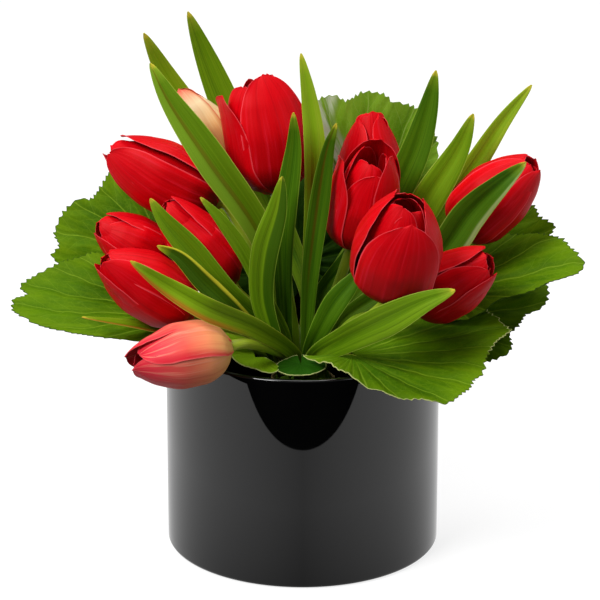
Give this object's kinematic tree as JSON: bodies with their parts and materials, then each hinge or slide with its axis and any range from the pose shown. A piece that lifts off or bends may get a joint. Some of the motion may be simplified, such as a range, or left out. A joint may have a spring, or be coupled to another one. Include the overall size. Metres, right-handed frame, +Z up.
{
  "type": "tulips in a vase",
  "caption": "Hand-tied bunch of red tulips with long strap leaves and a collar of broad toothed leaves, standing in a low black cylinder vase.",
  "frame": {"origin": "centre of the vase's base, on the surface it stands on", "axes": "+Z up along the vase's axis; -Y towards the side the bunch faces; +X to the right seen from that side"},
  "size_m": [0.3176, 0.2294, 0.2902],
  "materials": {
    "vase_black_glass": "gloss",
    "raffia": "matte",
    "stem_green": "satin",
    "petal_red": "satin",
    "petal_cream_orange": "satin",
    "petal_salmon": "satin",
    "leaf_green": "satin",
    "collar_green": "satin"
  },
  "bodies": {
    "root": {"vase": "vase_black_glass", "tie_band": "raffia", "stem_01": "stem_green", "stem_02": "stem_green", "stem_03": "stem_green", "stem_04": "stem_green", "stem_05": "stem_green", "stem_06": "stem_green", "stem_07": "stem_green", "stem_08": "stem_green", "stem_09": "stem_green", "stem_10": "stem_green", "stem_11": "stem_green", "stem_12": "stem_green", "stem_13": "stem_green", "stem_14": "stem_green", "bloom_01": "petal_red", "bloom_02": "petal_red", "bloom_03": "petal_cream_orange", "bloom_04": "petal_red", "bloom_05": "petal_red", "bloom_06": "petal_red", "bloom_07": "petal_salmon", "bloom_08": "petal_red", "bloom_09": "petal_red", "bloom_10": "petal_red", "bloom_11": "petal_red", "bloom_12": "petal_red", "bloom_13": "petal_red", "bloom_14": "petal_red", "leaf_01": "leaf_green", "leaf_02": "leaf_green", "leaf_03": "leaf_green", "leaf_04": "leaf_green", "leaf_05": "leaf_green", "leaf_06": "leaf_green", "leaf_07": "leaf_green", "leaf_08": "leaf_green", "leaf_09": "leaf_green", "leaf_10": "leaf_green", "leaf_11": "leaf_green", "leaf_12": "leaf_green", "leaf_13": "leaf_green", "leaf_14": "leaf_green", "leaf_15": "leaf_green", "leaf_16": "leaf_green", "leaf_17": "leaf_green", "leaf_18": "leaf_green", "leaf_19": "leaf_green", "leaf_20": "leaf_green", "collar_leaf_a": "collar_green", "collar_leaf_b": "collar_green", "collar_leaf_c": "collar_green", "collar_leaf_d": "collar_green", "collar_leaf_e": "collar_green", "collar_leaf_f": "collar_green", "collar_leaf_g": "collar_green", "collar_leaf_h": "collar_green", "collar_leaf_i": "collar_green", "collar_leaf_j": "collar_green"}
  },
  "joints": []
}
